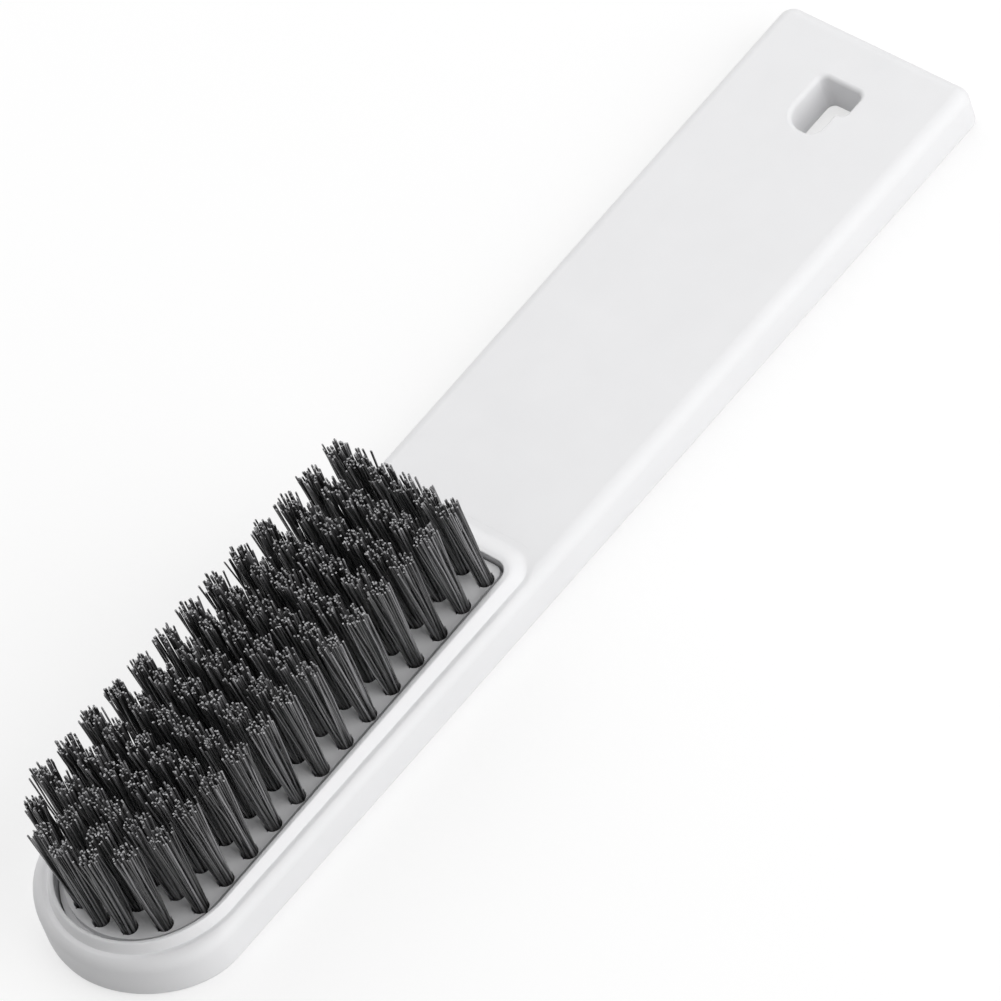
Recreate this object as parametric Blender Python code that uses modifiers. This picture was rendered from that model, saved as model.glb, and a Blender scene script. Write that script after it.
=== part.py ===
"""Scrub brush: a moulded handle with a raised rim round its head, a bristle plate that seats in
the rim, and rows of bristles in the plate. Metres, +Z up. The brush lies on its back with its
bristles up. The origin is under the middle of its length, and +X points to the handle's end."""

import math
import random

import bmesh
import bpy
from mathutils import Matrix, Vector

MM = 0.001

# Handle: a flat slab with a round tip, straight sides that widen a little to the end, and
# rounded edges
LENGTH = 272.8 * MM
HEAD_WIDTH = 50.0 * MM
END_WIDTH = 51.7 * MM
SLAB_THICK = 10.8 * MM
TIP_LENGTH = 20.9 * MM
TIP_POWER = 1.9
ELLIPSE_POWER = 2
FACE_FILLET = 3.2 * MM
BACK_FILLET = 1.5 * MM
END_CORNER = 3.6 * MM
FILLET_LIMIT_SHARE = 0.9

# Rim round the recess: a rounded flank, a flat crest, and a ramp down to the handle at the
# neck. Its round tip starts further from the tip's end than the slab's does, and it narrows
# towards it
RIM_HEIGHT = 2.0 * MM
RIM_ROUND_START = 26.0 * MM
RIM_SIDE_IN = 2.3 * MM
RIM_TIP_IN = 3.1 * MM
RIM_ROOT = 1.5 * MM
FLANK_SHARE = 0.6
NECK_CREST = 0.9 * MM
NECK_RAMP = 3.6 * MM

# Recess in the rim: its sides run closer to the slab's sides from the neck to the tip
RECESS_NECK_IN = 6.0 * MM
RECESS_SIDE_IN = 4.8 * MM
RECESS_TIP_IN = 4.95 * MM
RECESS_END = 122.1 * MM
RECESS_CORNER = 3.4 * MM

# Hang hole in the handle's end: one side is stepped in towards the head
HOLE_END_IN = 12.6 * MM
HOLE_LENGTH = 14.8 * MM
HOLE_WIDTH = 11.9 * MM
HOLE_END_CORNER = 1.6 * MM
HOLE_FAR_CORNER = 5.0 * MM
HOLE_NEAR_CORNER = 3.0 * MM
HOLE_STEP_LENGTH = 7.4 * MM
HOLE_STEP_DEPTH = 2.6 * MM
HOLE_STEP_CORNER = 1.3 * MM
HOLE_MOUTH = 0.8 * MM

# Bristle plate, with a shallow pocket that holds the strips the bristles stand on
PLATE_THICK = 5.0 * MM
PLATE_PROUD = 0.2 * MM
PLATE_CHAMFER = 0.35 * MM
PLATE_SIDE_GAP = 0.35 * MM
PLATE_SEAT_GAP = 0.3 * MM
POCKET_LIP = 0.7 * MM
POCKET_DEPTH = 1.6 * MM

# Tufts: full rows across the straight part of the head, and seven tufts in the round tip
FULL_ROWS = 13
TUFTS_ACROSS = 6
FIRST_ROW_IN = 4.5 * MM
LAST_ROW_IN = 17.7 * MM
OUTER_TUFT_IN = 3.6 * MM
TUFT_WIDTH = 3.4 * MM
TUFT_LEAN = 1.2 * MM
BRISTLE_HEIGHT = 25.2 * MM
CUT_UNEVENNESS = 0.6 * MM

# Places of the tip's tufts: shares of the recess's round length towards the tip, and of half
# its width to each side
TIP_ROW_SHARES = (
    ((0.46, -0.22), (0.46, 0.22), (0.505, -0.625), (0.505, 0.625)),
    ((0.715, -0.325), (0.79, 0.0), (0.715, 0.325)),
)

# Strands: each stands for a few filaments of its tuft, one in the middle and four round it
STRAND_SIDES = 4
STRANDS_ROUND = 4
STRAND_FOOT = 1.0 * MM
STRAND_END = 1.3 * MM
STRAND_ROOT = 0.8 * MM
STRAND_CLEARANCE = 0.35 * MM
STRAND_SEED = 7

# Gaps and overruns
STRIP_GAP = 0.3 * MM
CUT_PAST = 0.2 * MM
OVERRUN = 3.0 * MM
WELD_REACH = 0.001 * MM
SMALLEST_CORNER = 0.2 * MM

# Fineness of the round stretches
TIP_STEPS = 32
CORNER_STEPS = 5
FILLET_STEPS = 4
RIM_STEPS = 5
FLAT_ANGLE = math.radians(0.05)
SHARP_ANGLE = math.radians(30)

# Colours, as linear red, green and blue, and how dull each finish is
HANDLE_GREY = (0.80, 0.80, 0.81)
HANDLE_ROUGHNESS = 0.45
PLATE_GREY = (0.55, 0.55, 0.56)
PLATE_ROUGHNESS = 0.5
BRISTLE_GREY = (0.045, 0.045, 0.048)
BRISTLE_ROUGHNESS = 0.4

# Heights and places that follow from the sizes above
FACE_Z = SLAB_THICK
CREST_Z = FACE_Z + RIM_HEIGHT
PLATE_TOP_Z = FACE_Z + PLATE_PROUD
PLATE_BASE_Z = PLATE_TOP_Z - PLATE_THICK
RECESS_FLOOR_Z = PLATE_BASE_Z - PLATE_SEAT_GAP
POCKET_FLOOR_Z = PLATE_TOP_Z - POCKET_DEPTH
POCKET_IN = PLATE_SIDE_GAP + POCKET_LIP
STRIP_IN = POCKET_IN + STRIP_GAP
RECESS_ROUND = RIM_ROUND_START - RECESS_TIP_IN
ROW_SPAN = RECESS_END - FIRST_ROW_IN - RECESS_TIP_IN - LAST_ROW_IN
ROW_PITCH = ROW_SPAN / (FULL_ROWS - 1)


# Outlines, as plan points listed anticlockwise

def from_tip(distance):
    """The X of a place that is this far from the tip's end."""
    return distance - LENGTH / 2


def half_width(distance):
    """Half the slab's width at a distance from the tip's end, on its straight sides."""
    run = (distance - TIP_LENGTH) / (LENGTH - TIP_LENGTH)
    return (HEAD_WIDTH + (END_WIDTH - HEAD_WIDTH) * run) / 2


def quarter_turn(x, y, radius, start):
    """A quarter circle about (x, y), anticlockwise from the angle start."""
    points = []
    for step in range(CORNER_STEPS + 1):
        angle = start + math.pi / 2 * step / CORNER_STEPS
        points.append((x + radius * math.cos(angle), y + radius * math.sin(angle)))
    return points


def round_tip(start, reach, side, power):
    """A round tip that starts this far from the tip's end, from its +Y side round to its -Y
    side. It is a superellipse: an ellipse of this reach and side, whose squares are a power."""
    points = []
    for step in range(TIP_STEPS + 1):
        angle = math.pi / 2 + math.pi * step / TIP_STEPS
        along = abs(math.cos(angle)) ** (2 / power) * reach
        across = abs(math.sin(angle)) ** (2 / power) * side
        points.append((from_tip(start - along), math.copysign(across, math.sin(angle))))
    return points


def straight_end(end, side, corner):
    """A straight end at a distance from the tip's end, with half its width and two rounded
    corners."""
    radius = max(corner, SMALLEST_CORNER)
    x = from_tip(end) - radius
    y = side - radius
    return quarter_turn(x, -y, radius, -math.pi / 2) + quarter_turn(x, y, radius, 0)


def slab_outline():
    """The whole handle's outline."""
    tip = round_tip(TIP_LENGTH, TIP_LENGTH, HEAD_WIDTH / 2, TIP_POWER)
    return tip + straight_end(LENGTH, END_WIDTH / 2, END_CORNER)


def rim_outline(share, end):
    """An outline this share of the way through the rim, from its foot to the recess, with its
    neck side at a distance from the tip's end."""
    tip_in = RIM_TIP_IN + (RECESS_TIP_IN - RIM_TIP_IN) * share
    side_in = RIM_SIDE_IN + (RECESS_SIDE_IN - RIM_SIDE_IN) * share
    neck_in = RIM_SIDE_IN + (RECESS_NECK_IN - RIM_SIDE_IN) * share
    side = half_width(RIM_ROUND_START) - side_in
    tip = round_tip(RIM_ROUND_START, RIM_ROUND_START - tip_in, side, ELLIPSE_POWER)
    corner = RECESS_CORNER + RECESS_NECK_IN - neck_in
    return tip + straight_end(end, half_width(end) - neck_in, corner)


def recess_outline(step_in):
    """The recess's outline drawn in by a step all round."""
    side = recess_side(RIM_ROUND_START) - step_in
    tip = round_tip(RIM_ROUND_START, RECESS_ROUND - step_in, side, ELLIPSE_POWER)
    end_side = recess_side(RECESS_END) - step_in
    return tip + straight_end(RECESS_END - step_in, end_side, RECESS_CORNER - step_in)


def recess_side(distance):
    """Half the recess's width at a distance from the tip's end."""
    straight = max(distance, RIM_ROUND_START)
    run = (straight - RIM_ROUND_START) / (RECESS_END - RIM_ROUND_START)
    side = half_width(straight) - RECESS_SIDE_IN - (RECESS_NECK_IN - RECESS_SIDE_IN) * run
    return side * math.sqrt(1 - ((straight - distance) / RECESS_ROUND) ** 2)


def square_cornered(corners, grow):
    """An outline of right-angled corners, each an (x, y, radius). Every side moves out by
    grow, so outer corners widen by it and inner ones tighten."""
    points = []
    for index, (x, y, radius) in enumerate(corners):
        here = Vector((x, y))
        coming = (here - Vector(corners[index - 1][:2])).normalized()
        going = (Vector(corners[(index + 1) % len(corners)][:2]) - here).normalized()
        outer = coming.cross(going) > 0
        turn = max(radius + grow if outer else radius - grow, SMALLEST_CORNER)
        outward = Vector((coming.y, -coming.x)) + Vector((going.y, -going.x))
        centre = here + grow * outward + turn * (going - coming)
        for step in range(CORNER_STEPS + 1):
            angle = math.pi / 2 * step / CORNER_STEPS
            spot = centre + turn * (math.sin(angle) * coming - math.cos(angle) * going)
            points.append((spot.x, spot.y))
    return points


def hole_outline(grow):
    """The hang hole: a rectangle whose -Y side steps in over the length nearest the head."""
    end = from_tip(LENGTH - HOLE_END_IN)
    start = end - HOLE_LENGTH
    step = start + HOLE_STEP_LENGTH
    side = HOLE_WIDTH / 2
    ledge = HOLE_STEP_DEPTH - side
    corners = (
        (end, -side, HOLE_END_CORNER),
        (end, side, HOLE_END_CORNER),
        (start, side, HOLE_FAR_CORNER),
        (start, ledge, HOLE_NEAR_CORNER),
        (step, ledge, HOLE_STEP_CORNER),
        (step, -side, HOLE_STEP_CORNER),
    )
    return square_cornered(corners, grow)


# Solids made from outlines

def extruded(name, outline, low, high, collection):
    """The outline as a flat curve, extruded from one height to another and made a mesh."""
    curve = bpy.data.curves.new(name, "CURVE")
    curve.dimensions = "2D"
    curve.fill_mode = "BOTH"
    curve.extrude = (high - low) / 2
    spline = curve.splines.new("POLY")
    spline.points.add(len(outline) - 1)
    for point, (x, y) in zip(spline.points, outline):
        point.co = (x, y, 0, 1)
    spline.use_cyclic_u = True
    shape = bpy.data.objects.new(name + "_curve", curve)
    shape.location.z = (low + high) / 2
    bpy.context.scene.collection.objects.link(shape)
    bpy.context.view_layer.update()
    evaluated = shape.evaluated_get(bpy.context.evaluated_depsgraph_get())
    mesh = bpy.data.meshes.new_from_object(evaluated)
    solid = bpy.data.objects.new(name, mesh)
    solid.matrix_world = shape.matrix_world
    collection.objects.link(solid)
    bpy.data.objects.remove(shape)
    bpy.data.curves.remove(curve)
    tidy_faces(mesh)
    return solid


def tidy_faces(mesh):
    """Welds a mesh's caps to its walls and makes each flat cap one face."""
    shape = bmesh.new()
    shape.from_mesh(mesh)
    bmesh.ops.remove_doubles(shape, verts=shape.verts, dist=WELD_REACH)
    bmesh.ops.dissolve_limit(shape, angle_limit=FLAT_ANGLE, verts=shape.verts, edges=shape.edges)
    bmesh.ops.recalc_face_normals(shape, faces=shape.faces)
    shape.to_mesh(mesh)
    shape.free()


def lofted(name, rings, collection):
    """A closed solid through rings of plan points, each an (outline, height), bottom first."""
    shape = bmesh.new()
    loops = [[shape.verts.new((x, y, height)) for x, y in outline] for outline, height in rings]
    for lower, upper in zip(loops, loops[1:]):
        for index in range(len(lower)):
            following = (index + 1) % len(lower)
            shape.faces.new((lower[index], lower[following], upper[following], upper[index]))
    shape.faces.new(reversed(loops[0]))
    shape.faces.new(loops[-1])
    mesh = bpy.data.meshes.new(name)
    shape.to_mesh(mesh)
    shape.free()
    solid = bpy.data.objects.new(name, mesh)
    collection.objects.link(solid)
    return solid


def box(name, low, high, collection):
    """A box between two corners."""
    shape = bmesh.new()
    size = Matrix.Diagonal((*(b - a for a, b in zip(low, high)), 1))
    middle = Matrix.Translation([(a + b) / 2 for a, b in zip(low, high)])
    bmesh.ops.create_cube(shape, size=1, matrix=middle @ size)
    mesh = bpy.data.meshes.new(name)
    shape.to_mesh(mesh)
    shape.free()
    solid = bpy.data.objects.new(name, mesh)
    collection.objects.link(solid)
    return solid


def break_edges(solid, width_at, segments):
    """Bevels the edges that lie flat at the given heights, each with its own width. One
    segment makes a chamfer, and more make a fillet."""
    widest = max(width_at.values())
    shape = bmesh.new()
    shape.from_mesh(solid.data)
    weights = shape.edges.layers.float.new("bevel_weight_edge")
    for edge in shape.edges:
        heights = [(solid.matrix_world @ vert.co).z for vert in edge.verts]
        for height, width in width_at.items():
            if max(abs(z - height) for z in heights) < CUT_PAST:
                edge[weights] = width / widest
    shape.to_mesh(solid.data)
    shape.free()
    bevel = solid.modifiers.new("broken_edges", "BEVEL")
    bevel.limit_method = "WEIGHT"
    bevel.width = widest
    bevel.segments = segments
    bevel.use_clamp_overlap = False


def combine(solid, operation, other):
    """Adds a Boolean of another solid, which becomes a hidden helper."""
    boolean = solid.modifiers.new(other.name, "BOOLEAN")
    boolean.operation = operation
    boolean.object = other
    other.hide_render = True
    other.display_type = "WIRE"


# The pieces

def rim_solid(collection):
    """The rim as a full disc, before the recess is cut. Its flank is a quarter round, and its
    neck side runs down to the handle's face along half a wave."""
    crest_end = RECESS_END + NECK_CREST
    rings = []
    for step in range(RIM_STEPS + 1):
        rise = step / RIM_STEPS
        share = FLANK_SHARE * (1 - math.sqrt(1 - rise * rise))
        end = crest_end + NECK_RAMP * math.acos(2 * rise - 1) / math.pi
        rings.append((rim_outline(share, end), FACE_Z + RIM_HEIGHT * rise))
    rings.insert(0, (rings[0][0], FACE_Z - RIM_ROOT))
    return lofted("rim", rings, collection)


def hole_cutter(collection):
    """The hang hole's cutter, which flares at both faces to break the hole's edges."""
    flare = hole_outline(HOLE_MOUTH + CUT_PAST)
    bore = hole_outline(0)
    rings = (
        (flare, -CUT_PAST),
        (bore, HOLE_MOUTH),
        (bore, FACE_Z - HOLE_MOUTH),
        (flare, FACE_Z + CUT_PAST),
    )
    return lofted("hang_hole_cutter", rings, collection)


def make_handle(parts, cutters):
    """Handle and head in one moulding: slab, rim, recess for the plate, and hang hole."""
    handle = extruded("handle_body", slab_outline(), 0, SLAB_THICK, parts)
    face_fillet = min(FACE_FILLET, END_CORNER * FILLET_LIMIT_SHARE)
    break_edges(handle, {FACE_Z: face_fillet, 0: BACK_FILLET}, FILLET_STEPS)
    combine(handle, "UNION", rim_solid(cutters))
    top = CREST_Z + OVERRUN
    recess = extruded("recess_cutter", recess_outline(0), RECESS_FLOOR_Z, top, cutters)
    combine(handle, "DIFFERENCE", recess)
    combine(handle, "DIFFERENCE", hole_cutter(cutters))
    return handle


def make_plate(parts, cutters):
    """The plate that carries the tufts, with a broken top edge and a pocket for the strips."""
    outline = recess_outline(PLATE_SIDE_GAP)
    plate = extruded("bristle_plate", outline, PLATE_BASE_Z, PLATE_TOP_Z, parts)
    break_edges(plate, {PLATE_TOP_Z: PLATE_CHAMFER}, 1)
    top = PLATE_TOP_Z + OVERRUN
    pocket = extruded("pocket_cutter", recess_outline(POCKET_IN), POCKET_FLOOR_Z, top, cutters)
    combine(plate, "DIFFERENCE", pocket)
    return plate


def tuft_pitch(distance):
    """The distance between the tufts of a full row at a distance from the tip's end."""
    return 2 * (recess_side(distance) - OUTER_TUFT_IN) / (TUFTS_ACROSS - 1)


def tuft_rows():
    """The places of the tufts, row by row from the neck to the tip."""
    first = RECESS_END - FIRST_ROW_IN
    rows = []
    for row in range(FULL_ROWS):
        distance = first - ROW_PITCH * row
        places = [step - (TUFTS_ACROSS - 1) / 2 for step in range(TUFTS_ACROSS)]
        rows.append([(from_tip(distance), tuft_pitch(distance) * place) for place in places])
    side = recess_side(RIM_ROUND_START)
    for shares in TIP_ROW_SHARES:
        rows.append([(from_tip(RIM_ROUND_START - RECESS_ROUND * a), side * b) for a, b in shares])
    return rows


def strip_ends(rows):
    """The low and high X of each row's strip, which meet halfway between the rows."""
    edges = [from_tip(RECESS_END)]
    for row, following in zip(rows, rows[1:]):
        edges.append((min(x for x, _ in row) + max(x for x, _ in following)) / 2)
    edges.append(from_tip(0))
    return [(low + STRIP_GAP / 2, high - STRIP_GAP / 2) for high, low in zip(edges, edges[1:])]


def crown_reach(place, places):
    """How far a tuft's strands may spread along and across the head at their ends and stay
    clear of the next tuft's. The crown is an ellipse with the shape of the tufts' spacing."""
    stretch = ROW_PITCH / tuft_pitch(RECESS_END - FIRST_ROW_IN)
    gaps = [Vector(other) - Vector(place) for other in places if other != place]
    nearest = min(math.hypot(gap.x / stretch, gap.y) for gap in gaps)
    across = (nearest - STRAND_END * math.sqrt(2) - STRAND_CLEARANCE) / 2
    return across * stretch, across


def add_strand(shape, foot, end, turn):
    """One strand: a slim frustum with flat ends, slanted from its foot to its cut end."""
    run = end - foot
    slant = Matrix.Identity(4)
    slant[0][2] = run.x / run.z
    slant[1][2] = run.y / run.z
    lift = Matrix.Translation((0, 0, run.z / 2))
    spin = Matrix.Rotation(turn + math.pi / STRAND_SIDES, 4, "Z")
    across_corners = 1 / math.cos(math.pi / STRAND_SIDES)
    bmesh.ops.create_cone(
        shape,
        cap_ends=True,
        segments=STRAND_SIDES,
        radius1=STRAND_FOOT / 2 * across_corners,
        radius2=STRAND_END / 2 * across_corners,
        depth=run.z,
        matrix=Matrix.Translation(foot) @ slant @ spin @ lift,
    )


def strands_of(name, row, places, chance, cutters):
    """All the strands of one row, fanned out from their tufts and leaning to the tip."""
    shape = bmesh.new()
    foot_ring = (TUFT_WIDTH - STRAND_FOOT) / 2
    foot_z = PLATE_TOP_Z - STRAND_ROOT
    for place in row:
        along, across = crown_reach(place, places)
        phase = chance.choice((0, math.pi / STRANDS_ROUND))
        for strand in range(STRANDS_ROUND + 1):
            turn = phase + 2 * math.pi * strand / STRANDS_ROUND
            out = Vector((math.cos(turn), math.sin(turn), 0)) if strand else Vector((0, 0, 0))
            height = BRISTLE_HEIGHT + chance.uniform(-CUT_UNEVENNESS, 0)
            foot = Vector((*place, foot_z)) + out * foot_ring
            end = Vector((*place, PLATE_TOP_Z + height))
            end += Vector((out.x * along - TUFT_LEAN, out.y * across, 0))
            add_strand(shape, foot, end, turn)
    mesh = bpy.data.meshes.new(name)
    shape.to_mesh(mesh)
    shape.free()
    strands = bpy.data.objects.new(name, mesh)
    cutters.objects.link(strands)
    return strands


def make_tuft_rows(parts, cutters):
    """Each row's bristles, standing on their strip of the plate's surface."""
    rows = tuft_rows()
    places = [place for row in rows for place in row]
    chance = random.Random(STRAND_SEED)
    bottom = POCKET_FLOOR_Z + STRIP_GAP
    solids = []
    for number, (row, (low, high)) in enumerate(zip(rows, strip_ends(rows)), start=1):
        name = f"tuft_row_{number:02d}"
        strip = extruded(name, recess_outline(STRIP_IN), bottom, PLATE_TOP_Z, parts)
        corner = Vector((low, -END_WIDTH, bottom - OVERRUN))
        far_corner = Vector((high, END_WIDTH, PLATE_TOP_Z + OVERRUN))
        combine(strip, "INTERSECT", box(name + "_band", corner, far_corner, cutters))
        combine(strip, "UNION", strands_of(name + "_strands", row, places, chance, cutters))
        solids.append(strip)
    return solids


# Finishes, smoothing and the scene

def finish(name, colour, roughness):
    """A plastic of one colour."""
    material = bpy.data.materials.new(name)
    material.use_nodes = True
    shader = material.node_tree.nodes["Principled BSDF"]
    shader.inputs["Base Color"].default_value = (*colour, 1)
    shader.inputs["Roughness"].default_value = roughness
    shader.inputs["Metallic"].default_value = 0
    return material


def smooth(solid):
    """Shades the round stretches smooth and keeps the corners sharp."""
    solid.data.shade_smooth()
    solid.data.set_sharp_from_angle(angle=SHARP_ANGLE)


def clear_scene():
    """Removes whatever the scene starts with."""
    for thing in list(bpy.data.objects):
        bpy.data.objects.remove(thing)


def new_collection(name):
    """A collection linked to the scene."""
    collection = bpy.data.collections.new(name)
    bpy.context.scene.collection.children.link(collection)
    return collection


def main():
    clear_scene()
    parts = new_collection("scrub_brush")
    cutters = new_collection("cutters")
    centre = bpy.data.objects.new("brush_centre", None)
    parts.objects.link(centre)
    handle = make_handle(parts, cutters)
    plate = make_plate(parts, cutters)
    rows = make_tuft_rows(parts, cutters)
    handle.data.materials.append(finish("handle_plastic", HANDLE_GREY, HANDLE_ROUGHNESS))
    plate.data.materials.append(finish("plate_plastic", PLATE_GREY, PLATE_ROUGHNESS))
    bristle = finish("bristle_filament", BRISTLE_GREY, BRISTLE_ROUGHNESS)
    for row in rows:
        row.data.materials.append(bristle)
    for solid in (handle, plate, *rows):
        solid.parent = centre
        smooth(solid)


main()
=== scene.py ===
"""A scrub brush dressed for a picture: the moulded handle, its bristle plate, the tufts in their
holes, and a pale floor under soft light. Lengths are metres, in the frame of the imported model:
+X runs to the handle's end, +Z out through the bristles, and the back lies on z = 0."""

import math

import bpy
import numpy as np
from bpy.props import FloatProperty, FloatVectorProperty, IntProperty, PointerProperty
from mathutils import Matrix, Vector


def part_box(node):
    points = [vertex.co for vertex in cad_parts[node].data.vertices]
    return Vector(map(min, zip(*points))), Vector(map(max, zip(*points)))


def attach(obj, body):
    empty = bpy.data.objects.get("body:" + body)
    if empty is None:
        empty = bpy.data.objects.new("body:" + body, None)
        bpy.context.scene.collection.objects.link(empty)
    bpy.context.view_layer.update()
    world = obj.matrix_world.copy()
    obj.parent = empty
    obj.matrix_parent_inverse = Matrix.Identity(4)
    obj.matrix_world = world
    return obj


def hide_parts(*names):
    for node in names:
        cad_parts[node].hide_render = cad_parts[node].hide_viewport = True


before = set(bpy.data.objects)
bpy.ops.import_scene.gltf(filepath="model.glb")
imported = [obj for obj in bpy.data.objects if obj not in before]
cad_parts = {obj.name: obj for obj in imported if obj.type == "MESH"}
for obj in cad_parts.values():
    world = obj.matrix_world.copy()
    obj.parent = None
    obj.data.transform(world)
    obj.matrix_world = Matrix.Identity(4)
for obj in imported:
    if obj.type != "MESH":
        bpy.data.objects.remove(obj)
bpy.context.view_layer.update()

bl_info = {
    "name": "Scrub Brush",
    "version": (1, 0, 0),
    "blender": (4, 5, 0),
    "location": "View3D > Sidebar > Scrub Brush",
    "description": "Builds the visible surfaces of a scrub brush round its packed model",
    "category": "Add Mesh",
}

MM = 0.001

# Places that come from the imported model
TIP_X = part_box("handle_body")[0][0]
END_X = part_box("handle_body")[1][0]
PLATE_BASE_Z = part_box("bristle_plate")[0][2]
PLATE_TOP_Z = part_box("bristle_plate")[1][2]
TUFT_ROWS = sorted(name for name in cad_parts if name.startswith("tuft_row_"))

# Fineness of the surfaces
TIP_STEPS = 144
CORNER_STEPS = 14
FILLET_STEPS = 12
FLANK_STEPS = 22
GROOVE_STEPS = 8
CREST_STEPS = 6
EDGE_STEPS = 3
HOLE_SIDES = 28
FILAMENT_SIDES = 6
HALVINGS = 24

# Angles in degrees, past which an edge stays sharp
HANDLE_SHARP = 30
PLATE_SHARP = 35
FILAMENT_SHARP = 75

# Small lengths that keep surfaces from lying in each other
SINK = 0.01 * MM
OVERRUN = 1.0 * MM
SMALLEST_CORNER = 0.15 * MM
BANK = 0.25 * MM

# Share of a quarter turn that the hang hole's mouth takes, so it never lies flat in a face
MOUTH_SHARE = 0.94

# Places of the tip's two rows, as shares of the length and of half the width of the
# recess's round stretch
TIP_ROW_SHARES = (
    ((0.46, -0.22), (0.46, 0.22), (0.505, -0.625), (0.505, 0.625)),
    ((0.715, -0.325), (0.79, 0.0), (0.715, 0.325)),
)

# An anchor's reach into the nick and half its thickness, as shares of the nick's reach and
# width, and its rolled edge
ANCHOR_REACH_SHARE = 0.9
ANCHOR_HALF_SHARE = 0.4
ANCHOR_EDGE = 0.05 * MM

# Points of a hole's ring nearer to the nick's middle than this share of half its width are
# left out
NICK_CLEAR_SHARE = 1.05

# A filament's course: the shares of its height where it has a point, how deep it reaches down
# the anchor, how far it stays out where the anchor splits the tuft, and how much it bows
RISE_SHARES = (0.0, 0.08, 0.3, 0.62, 1.0)
FOOT_SHARE = 0.6
SPLIT_SHARE = 0.75
BOW = 0.25 * MM

# How filaments differ: their spot as a share of the tuft's half width, their thickness, the
# slope of their cut, how pale the cut end is painted (partly the cut's own paler tone, partly a
# painted highlight where the tips catch the light), and the power that makes dark ones the more
# common
SPOT_SHARE = 0.035
THICKNESS_SHARES = (0.9, 1.08)
CUT_SLOPE = 0.25
CUT_PALE_AND_HIGHLIGHT_SHARES = (0.15, 1)
SHADE_POWER = 1.5
SEED = 11

# Patterns in the moulded plastics: cloudy mottling, gloss, slow waves and fine grain. Gloss
# shares are shares of a finish's roughness.
MOTTLE_SIZE = 14 * MM
GLOSS_SIZE = 5 * MM
GLOSS_SHARES = (0.9, 1.1)
WAVE_SIZE = 22 * MM
WAVE_HEIGHT = 0.05 * MM
WAVE_STRENGTH = 0.25
GRAIN_HEIGHT = 0.01 * MM
GRAIN_STRENGTH = 0.35
HANDLE_MOTTLE_SHARE = 0.012
HANDLE_GRAIN = 0.35 * MM
PLATE_MOTTLE_SHARE = 0.05
PLATE_GRAIN = 0.3 * MM

# Patterns in the filaments and the anchors. A filament share or a scratch share is how much
# paler than its finish a colour gets, or darker below zero.
DARK_FILAMENT_SHARE = -0.8
PALE_FILAMENT_SHARE = 1.4
STREAK_SIZE = 1.5 * MM
STREAK_GLOSS_SHARES = (0.75, 1.25)
FILAMENT_SHEEN = 0.8
SCRATCH_SIZE = 0.3 * MM
SCRATCH_SHARE = -0.2
SCRATCH_GLOSS_SHARES = (0.8, 1.3)

# The corners of a square of half width 1, anticlockwise
SQUARE = np.array([(-1, -1), (1, -1), (1, 1), (-1, 1)])

# The middle half of a noise pattern's values, and the places of a Mix node's colour sockets
NOISE_LOW = 0.25
NOISE_HIGH = 0.75
MIX_LOW = 6
MIX_HIGH = 7
MIX_RESULT = 2

# The stage: the ways that the lights come from, and the floor's half width in metres and its
# roughness
KEY_FROM = (0.25, -0.85, 0.45)
TOP_FROM = (0.3, 0.8, 1.0)
FLOOR_REACH = 3.0
FLOOR_ROUGHNESS = 0.9

# The camera: its turn, rise and roll in degrees, how far it is moved right and up, its lens
# and sensor in millimetres, and how far it sees in metres
CAMERA_TURN = -33.97
CAMERA_RISE = 50.01
CAMERA_ROLL = -21.17
CAMERA_RIGHT = 0.7815 * MM
CAMERA_UP = 3.824 * MM
CAMERA_LENS = 393.7
CAMERA_SENSOR = 36
CAMERA_SIGHT = 100


def length(name, millimetres, description):
    """A size of a piece, given here in millimetres and kept in metres."""
    return FloatProperty(
        name=name,
        description=description,
        default=millimetres * MM,
        min=0.0,
        precision=5,
        unit="LENGTH",
        subtype="DISTANCE",
    )


def colour(name, value, description):
    """A finish's base colour, as linear red, green and blue."""
    return FloatVectorProperty(
        name=name, description=description, default=value, min=0.0, max=1.0, subtype="COLOR"
    )


def factor(name, value, description):
    """A share from 0 to 1."""
    return FloatProperty(
        name=name, description=description, default=value, min=0.0, max=1.0, subtype="FACTOR"
    )


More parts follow.
